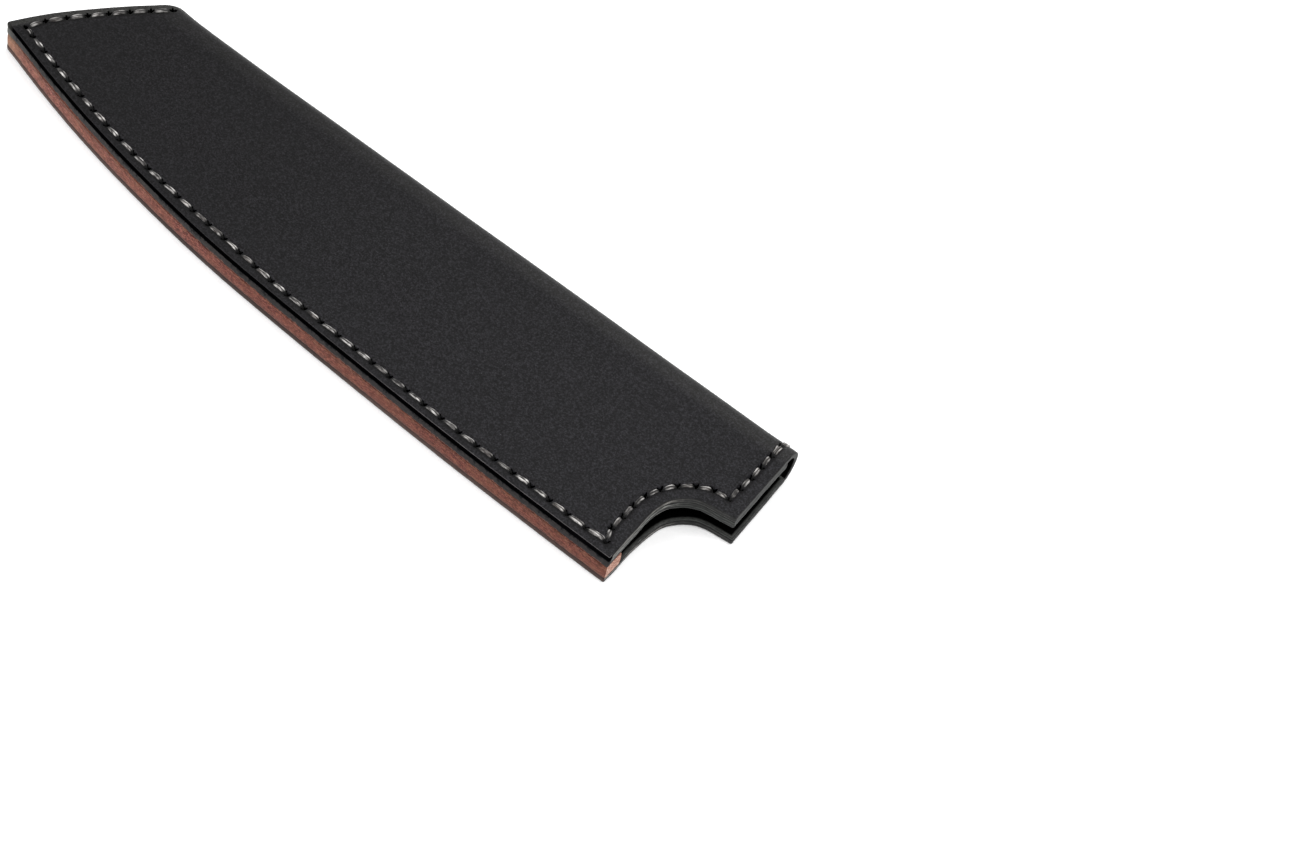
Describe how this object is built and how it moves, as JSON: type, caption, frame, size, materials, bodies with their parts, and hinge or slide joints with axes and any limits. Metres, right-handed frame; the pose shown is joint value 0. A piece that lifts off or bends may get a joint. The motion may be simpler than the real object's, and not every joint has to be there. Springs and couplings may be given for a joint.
{
  "type": "knife blade guard",
  "caption": "Flat stitched leather sheath that slides over a kitchen knife blade, folded round the spine, with a welted cutting edge and a finger notch beside the mouth",
  "frame": {"origin": "centre of the footprint at the resting back face", "axes": "+X from the tip to the mouth, +Y from the long edge to the spine, +Z out of the front face"},
  "size_m": [0.2034, 0.0532, 0.009],
  "materials": {
    "cover_leather": "smooth black leather with a fine grain",
    "lining_leather": "black lining leather with burnished edges",
    "welt_leather": "red-brown leather with a raw edge",
    "thread": "light grey waxed thread"
  },
  "bodies": {
    "root": {"outer_cover": "cover_leather", "front_lining": "lining_leather", "back_lining": "lining_leather", "welt": "welt_leather", "edge_thread": "thread", "mouth_thread": "thread"}
  },
  "joints": []
}
